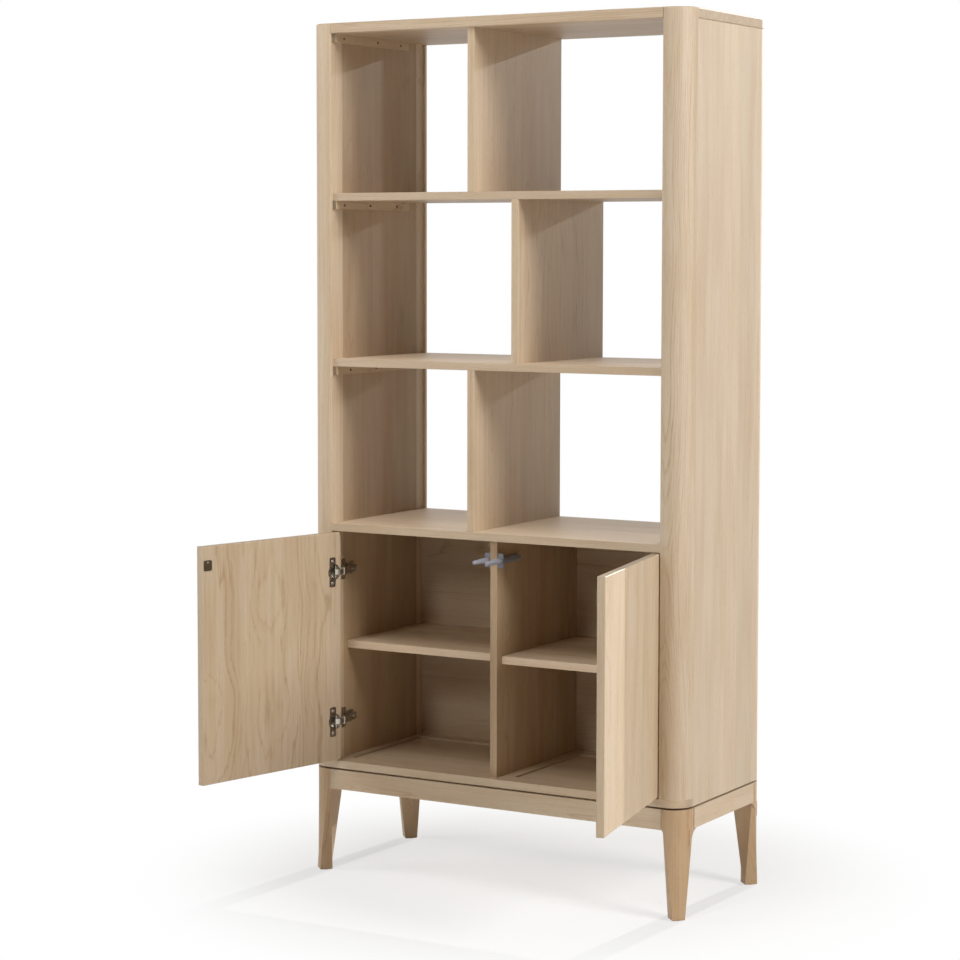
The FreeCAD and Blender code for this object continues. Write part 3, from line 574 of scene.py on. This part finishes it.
class BOOKCASE_OT_stage(bpy.types.Operator):
    """Set the floor, the lamps and the camera."""
    bl_idname = "bookcase.stage"
    bl_label = "Studio"

    def execute(self, context):
        scene = context.scene
        studio = scene.bookcase.studio
        scene.view_settings.view_transform = "Standard"
        self.lay_floor(scene, studio)
        self.light_all_round(scene, studio)
        area_lamp("key_lamp", (6.6, -1.1, 4.0), 2.4, studio.key_power)
        area_lamp("left_lamp", (-4.4, -2.6, 2.2), 2.0, studio.left_power)
        area_lamp("fill_lamp", (-0.6, -5.6, 3.0), 0.8, studio.fill_power)
        area_lamp("top_lamp", (0.0, -2.2, 4.8), 2.0, studio.top_power)
        self.light_from_behind(scene, studio)
        self.place_camera(scene)
        return {"FINISHED"}

    def lay_floor(self, scene, studio):
        """A floor that takes the shadow near the stand and fades to white."""
        reach = 14.0
        mesh = bpy.data.meshes.new("floor")
        mesh.from_pydata(
            [(-reach, -reach, 0.0), (reach, -reach, 0.0), (reach, reach, 0.0),
             (-reach, reach, 0.0)], [], [(0, 1, 2, 3)])
        floor = bpy.data.objects.new("floor", mesh)
        scene.collection.objects.link(floor)
        material = new_material("painted_studio_floor")
        tree = material.node_tree
        paint = add(
            tree, "ShaderNodeBsdfPrincipled",
            {"Base Color": opaque(studio.floor), "Roughness": 0.9,
             "Specular IOR Level": 0.0})
        white = add(
            tree, "ShaderNodeEmission", {"Color": (1.0, 1.0, 1.0, 1.0), "Strength": 1.0})

        # The floor turns white between these two distances from the middle of the stand
        fade_from = 0.4
        fade_to = 1.0
        coords = add(tree, "ShaderNodeTexCoord")
        distance = add(
            tree, "ShaderNodeVectorMath", {0: coords.outputs["Object"]}, operation="LENGTH")
        whiteness = add(
            tree, "ShaderNodeMapRange",
            {"Value": distance.outputs["Value"], "From Min": fade_from, "From Max": fade_to,
             "To Min": studio.floor_whiteness, "To Max": 1.0},
            interpolation_type="SMOOTHSTEP")
        share = worked(tree, "MULTIPLY", self.seen(tree), whiteness.outputs[0])
        mixed = add(
            tree, "ShaderNodeMixShader",
            {0: share, 1: paint.outputs[0], 2: white.outputs[0]})
        add(tree, "ShaderNodeOutputMaterial", {0: mixed.outputs[0]})
        mesh.materials.append(material)

    def light_all_round(self, scene, studio):
        """A little light from all round, and a white background."""
        world = bpy.data.worlds.new("studio")
        world.use_nodes = True
        tree = world.node_tree
        tree.nodes.clear()
        light = add(
            tree, "ShaderNodeBackground",
            {"Color": (1.0, 0.985, 0.96, 1.0), "Strength": studio.ambient})
        white = add(
            tree, "ShaderNodeBackground", {"Color": (1.0, 1.0, 1.0, 1.0), "Strength": 1.0})
        mixed = add(
            tree, "ShaderNodeMixShader",
            {0: self.seen(tree), 1: light.outputs[0], 2: white.outputs[0]})
        add(tree, "ShaderNodeOutputWorld", {0: mixed.outputs[0]})
        scene.world = world

    @staticmethod
    def light_from_behind(scene, studio):
        """A far lamp, low behind the case, whose light comes in through the open rows."""
        data = bpy.data.lights.new("back_lamp", "SUN")
        data.energy = studio.back_strength
        data.angle = math.radians(0.3)
        lamp = bpy.data.objects.new("back_lamp", data)
        scene.collection.objects.link(lamp)
        toward = Vector((0.032, 1.0, 0.24))
        away = 5.0
        lamp.location = toward * away
        lamp.rotation_euler = (-toward).to_track_quat("-Z", "Y").to_euler()

    @staticmethod
    def place_camera(scene):
        """The camera that the photograph was taken with, solved from the case's edges."""
        data = bpy.data.cameras.new("camera")
        data.sensor_width = 36.0
        data.lens = 98.12
        data.shift_x = -0.0074
        data.shift_y = -0.0426
        data.clip_end = 60.0
        camera = bpy.data.objects.new("camera", data)
        scene.collection.objects.link(camera)
        camera.location = (2.9839, -5.3104, 1.4891)
        tilt_down = 0.0744
        roll = -0.0014
        turn = 0.5307
        camera.rotation_euler = (math.pi / 2 - tilt_down, roll, turn)
        scene.camera = camera

    @staticmethod
    def seen(tree):
        """One where the camera, a mirror or glass looks, and none where light only falls."""
        path = add(tree, "ShaderNodeLightPath")
        looked = worked(
            tree, "MAXIMUM", path.outputs["Is Camera Ray"], path.outputs["Is Glossy Ray"])
        return worked(tree, "MAXIMUM", looked, path.outputs["Is Transmission Ray"])


class BOOKCASE_OT_posts_and_sides(bpy.types.Operator):
    """Finish the four posts and the two glued side panels."""
    bl_idname = "bookcase.posts_and_sides"
    bl_label = "Posts and sides"

    def execute(self, context):
        # The tones on the posts and sides are painted light and painted shade
        put_on(
            soaped_oak(
                "soaped_oak_post_left", "Z", "X", centre=-0.188, board=0.11, seed=0.3,
                heart_reach=RIFT, tone=LEFT_POST_PAINTED_LIGHT),
            "post_front_left")
        put_on(
            soaped_oak(
                "soaped_oak_post_right", "Z", "X", centre=-0.188, board=0.11, seed=7.4,
                contrast=1.2, tone=RIGHT_POST_PAINTED_LIGHT),
            "post_front_right")
        put_on(
            soaped_oak(
                "soaped_oak_rear_post_left", "Z", "Y", centre=-0.46, board=0.09, seed=2.2,
                tone=LEFT_REAR_POST_PAINTED_LIGHT),
            "post_rear_left")
        put_on(
            soaped_oak(
                "soaped_oak_rear_post_right", "Z", "Y", centre=0.46, board=0.09, seed=5.6),
            "post_rear_right")
        put_on(
            soaped_oak(
                "soaped_oak_side_left", "Z", "Y", centre=-0.46, board=0.085, seed=3.4,
                heart_reach=RIFT, contrast=0.8, tone=LEFT_SIDE_PAINTED_SHADE, shine=0.3),
            "side_left")
        put_on(
            soaped_oak(
                "soaped_oak_side_right", "Z", "Y", centre=0.46, board=0.085, seed=8.35,
                heart_reach=RIFT, contrast=0.8, tone=RIGHT_SIDE_PAINTED_SHADE),
            "side_right")
        return {"FINISHED"}


class BOOKCASE_OT_top_and_shelves(bpy.types.Operator):
    """Finish the top and the boards between the sides, with the grain from side to side."""
    bl_idname = "bookcase.top_and_shelves"
    bl_label = "Top and shelves"

    def execute(self, context):
        put_on(
            soaped_oak(
                "soaped_oak_top", "X", "Y", centre=1.988, board=0.1, seed=1.15,
                contrast=1.4),
            "top_panel")
        for name, height, seed in (
                ("shelf_1", 1.598, 2.4), ("shelf_2", 1.212, 4.7), ("shelf_3", 0.825, 6.2)):
            put_on(
                soaped_oak(
                    "soaped_oak_" + name, "X", "Y", centre=height, board=0.1, seed=seed),
                name)
        # The half shelves are drawn much paler, as painted light in the shaded cabinet
        put_on(
            soaped_oak(
                "soaped_oak_half_shelves", "X", "Y", centre=0.539, board=0.1, seed=9.3,
                tone=HALF_SHELF_PAINTED_LIGHT),
            "half_shelf_left", "half_shelf_right")
        return {"FINISHED"}


class BOOKCASE_OT_dividers(bpy.types.Operator):
    """Finish the upright dividers of the rows and of the cabinet."""
    bl_idname = "bookcase.dividers"
    bl_label = "Dividers"

    def execute(self, context):
        # The dividers are drawn paler and the cabinet divider deeper, as painted light and
        # painted shade
        put_on(
            soaped_oak(
                "soaped_oak_dividers", "Z", "Y", centre=0.0, board=0.1, seed=3.9,
                tone=DIVIDER_PAINTED_LIGHT),
            "divider_1", "divider_2", "divider_3")
        put_on(
            soaped_oak(
                "soaped_oak_cabinet_divider", "Z", "Y", centre=0.0, board=0.1, seed=5.1,
                tone=CABINET_DIVIDER_PAINTED_SHADE, shine=0.3),
            "cabinet_divider")
        return {"FINISHED"}


class BOOKCASE_OT_back_and_floor(bpy.types.Operator):
    """Finish the cabinet's veneered back, its floor frame and floor panels."""
    bl_idname = "bookcase.back_and_floor"
    bl_label = "Cabinet back and floor"

    def execute(self, context):
        put_on(
            soaped_oak("soaped_oak_back", "X", "Z", centre=0.193, board=0.19, seed=2.8),
            "back_panel")
        put_on(
            soaped_oak(
                "soaped_oak_floor_frame", "X", "Y", centre=0.26, board=0.12, seed=6.6),
            "floor_frame")
        put_on(
            soaped_oak(
                "soaped_oak_floor_panels", "X", "Y", centre=0.26, board=0.12, seed=1.7),
            "floor_panel_left", "floor_panel_right")
        return {"FINISHED"}


class BOOKCASE_OT_doors(bpy.types.Operator):
    """Finish the two flush door leaves, with the figure turned with each leaf."""
    bl_idname = "bookcase.doors"
    bl_label = "Doors"

    def execute(self, context):
        put_on(
            soaped_oak(
                "soaped_oak_door_left", "Z", "X", centre=-0.203, board=0.17, seed=4.25,
                contrast=1.25, door=(-PIVOT_X, LEFT_OPEN)),
            "left_door")
        put_on(
            soaped_oak(
                "soaped_oak_door_right", "Z", "X", centre=-0.203, board=0.17, seed=6.8,
                contrast=0.75, door=(PIVOT_X, -RIGHT_OPEN), shine=0.2),
            "right_door")
        return {"FINISHED"}


class BOOKCASE_OT_cleats(bpy.types.Operator):
    """Finish the cleats and the batten under the boards."""
    bl_idname = "bookcase.cleats"
    bl_label = "Cleats and batten"

    def execute(self, context):
        # Painted light and painted shade: the cleats are drawn paler than the oak, and their
        # ends far deeper than end grain alone, for the shade at them
        oak = soaped_oak(
            "soaped_oak_cleats", "Y", "Z", centre=0.42, board=0.06, seed=1.9,
            tone=CLEAT_PAINTED_LIGHT, end_tone=0.45, shine=0.2)
        for level in ("top", "shelf_1", "shelf_2"):
            put_on(oak, "cleat_" + level + "_left", "cleat_" + level + "_right")
        put_on(oak, "divider_batten")
        return {"FINISHED"}


class BOOKCASE_OT_stand(bpy.types.Operator):
    """Finish the four tapered legs and the rails between them."""
    bl_idname = "bookcase.stand"
    bl_label = "Stand"

    def execute(self, context):
        seed = 1.3
        for row, centre in (("front", -0.19), ("rear", 0.19)):
            for column in ("left", "right"):
                name = "leg_" + row + "_" + column
                put_on(
                    soaped_oak(
                        "soaped_oak_" + name, "Z", "X", centre=centre, board=0.12,
                        seed=seed, heart_reach=RIFT, tone=LEG_TONE),
                    name)
                seed += 2.15
        for name, grain, centre, seed in (
                ("rail_front", "X", -0.17, 3.2), ("rail_rear", "X", 0.17, 5.2),
                ("rail_left", "Y", -0.45, 7.1), ("rail_right", "Y", 0.45, 8.3)):
            put_on(
                soaped_oak(
                    "soaped_oak_" + name, grain, "Z", centre=centre, board=0.09, seed=seed),
                name)
        return {"FINISHED"}


class BOOKCASE_OT_hinges(bpy.types.Operator):
    """Finish the concealed hinges: cups, links and arms."""
    bl_idname = "bookcase.hinges"
    bl_label = "Hinges"

    def execute(self, context):
        fittings = context.scene.bookcase.fittings
        nickel = plated_metal(
            "nickel_plated_steel", tuple(fittings.nickel), roughness=0.27, wear=0.06)
        put_on(nickel, "hinge_arms_left", "hinge_arms_right")
        for side in ("left", "right"):
            put_on(nickel, side + "_cup_upper", side + "_cup_lower", side + "_links")
        return {"FINISHED"}


class BOOKCASE_OT_latches(bpy.types.Operator):
    """Finish the push latches and the strikes that they push on."""
    bl_idname = "bookcase.latches"
    bl_label = "Push latches"

    def execute(self, context):
        fittings = context.scene.bookcase.fittings
        grey = moulded_plastic(
            "moulded_abs_latch", tuple(fittings.latch_grey), roughness=0.5, ior=1.54)
        pale = moulded_plastic(
            "moulded_pom_plunger", tuple(fittings.plunger_grey), roughness=0.4, ior=1.48)
        black = plated_metal(
            "black_nickel_plated_steel", tuple(fittings.black_nickel), roughness=0.36,
            wear=0.06)
        bright = plated_metal(
            "zinc_plated_strike_screw", tuple(fittings.zinc), roughness=0.3, wear=0.05)
        for side in ("left", "right"):
            put_on(grey, side + "_latch")
            put_on(pale, side + "_plunger")
            put_on(black, side + "_strike")
            self.strike_screw(side, bright)
        return {"FINISHED"}

    @staticmethod
    def strike_screw(side, material):
        """A small pan head screw, above the middle of the strike and sunk a little into it."""
        above_middle = 0.007
        sunk = 0.0004
        radius = 0.0021
        length = 0.0009
        dome = 0.0003
        outward = inner_face_direction(side)
        corners = [corner.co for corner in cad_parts[side + "_strike"].data.vertices]
        middle = sum(corners, Vector()) / len(corners)
        top = max((corner - middle).dot(outward) for corner in corners)
        seat = middle + outward * (top - sunk) + Vector((0.0, 0.0, above_middle))
        shape = bmesh.new()
        add_screw(shape, seat, outward, radius, length, dome)
        piece_from(shape, side + "_strike_screw", side + "_door", material)


class BOOKCASE_OT_fasteners(bpy.types.Operator):
    """Finish the screws, the shelf pins and the corner plates."""
    bl_idname = "bookcase.fasteners"
    bl_label = "Fasteners"

    def execute(self, context):
        fittings = context.scene.bookcase.fittings
        cup_dome = 0.0005
        cleat_dome = 0.0004
        zinc = plated_metal(
            "zinc_plated_steel", tuple(fittings.zinc), roughness=0.34, wear=0.06)
        put_on(zinc, "stand_screws", "shelf_pins", "corner_plates")
        for side in ("left", "right"):
            outward = inner_face_direction(side)
            recessed_screws(
                side + "_cup_screws", side + "_door", lambda middle: outward, cup_dome, zinc)
        # The cleat screws are dark steel, drawn darker still as painted shade for their sunk
        # holes
        black = plated_metal(
            "black_oxide_steel", tuple(fittings.dark_screw_painted_shade), roughness=0.5, wear=0.08)
        recessed_screws("cleat_screws", "case", self.into_the_row, cleat_dome, black)
        return {"FINISHED"}

    @staticmethod
    def into_the_row(middle):
        """The way that a cleat screw looks, from its side of the case to the other."""
        return Vector((1.0, 0.0, 0.0)) if middle.x < 0.0 else Vector((-1.0, 0.0, 0.0))


class BOOKCASE_OT_glides(bpy.types.Operator):
    """Finish the glides under the legs and the spacers over them."""
    bl_idname = "bookcase.glides"
    bl_label = "Glides and spacers"

    def execute(self, context):
        fittings = context.scene.bookcase.fittings
        black = moulded_plastic(
            "moulded_pe_glide", tuple(fittings.glide_black), roughness=0.55, ior=1.51)
        put_on(black, "glides", "spacers")
        return {"FINISHED"}


PIECE_OPERATORS = (
    BOOKCASE_OT_stage,
    BOOKCASE_OT_posts_and_sides,
    BOOKCASE_OT_top_and_shelves,
    BOOKCASE_OT_dividers,
    BOOKCASE_OT_back_and_floor,
    BOOKCASE_OT_doors,
    BOOKCASE_OT_cleats,
    BOOKCASE_OT_stand,
    BOOKCASE_OT_hinges,
    BOOKCASE_OT_latches,
    BOOKCASE_OT_fasteners,
    BOOKCASE_OT_glides,
)


class BOOKCASE_PT_sidebar(bpy.types.Panel):
    """Sidebar panel with one button for each group of pieces."""
    bl_idname = "BOOKCASE_PT_sidebar"
    bl_label = "Bookcase"
    bl_space_type = "VIEW_3D"
    bl_region_type = "UI"
    bl_category = "Bookcase"

    def draw(self, context):
        column = self.layout.column(align=True)
        for operator in PIECE_OPERATORS:
            column.operator(operator.bl_idname)


CLASSES = (
    OakSettings,
    FittingSettings,
    StudioSettings,
    BookcaseSettings,
    *PIECE_OPERATORS,
    BOOKCASE_PT_sidebar,
)


def register():
    """Register the classes and the settings."""
    for entry in CLASSES:
        bpy.utils.register_class(entry)
    bpy.types.Scene.bookcase = bpy.props.PointerProperty(
        type=BookcaseSettings, name="Bookcase", description="Settings of the bookcase")


def unregister():
    """Take the settings and the classes away."""
    del bpy.types.Scene.bookcase
    for entry in reversed(CLASSES):
        bpy.utils.unregister_class(entry)


def main():
    """Make every piece in order."""
    register()
    for operator in PIECE_OPERATORS:
        group, action = operator.bl_idname.split(".")
        getattr(getattr(bpy.ops, group), action)()


if __name__ == "__main__":
    main()
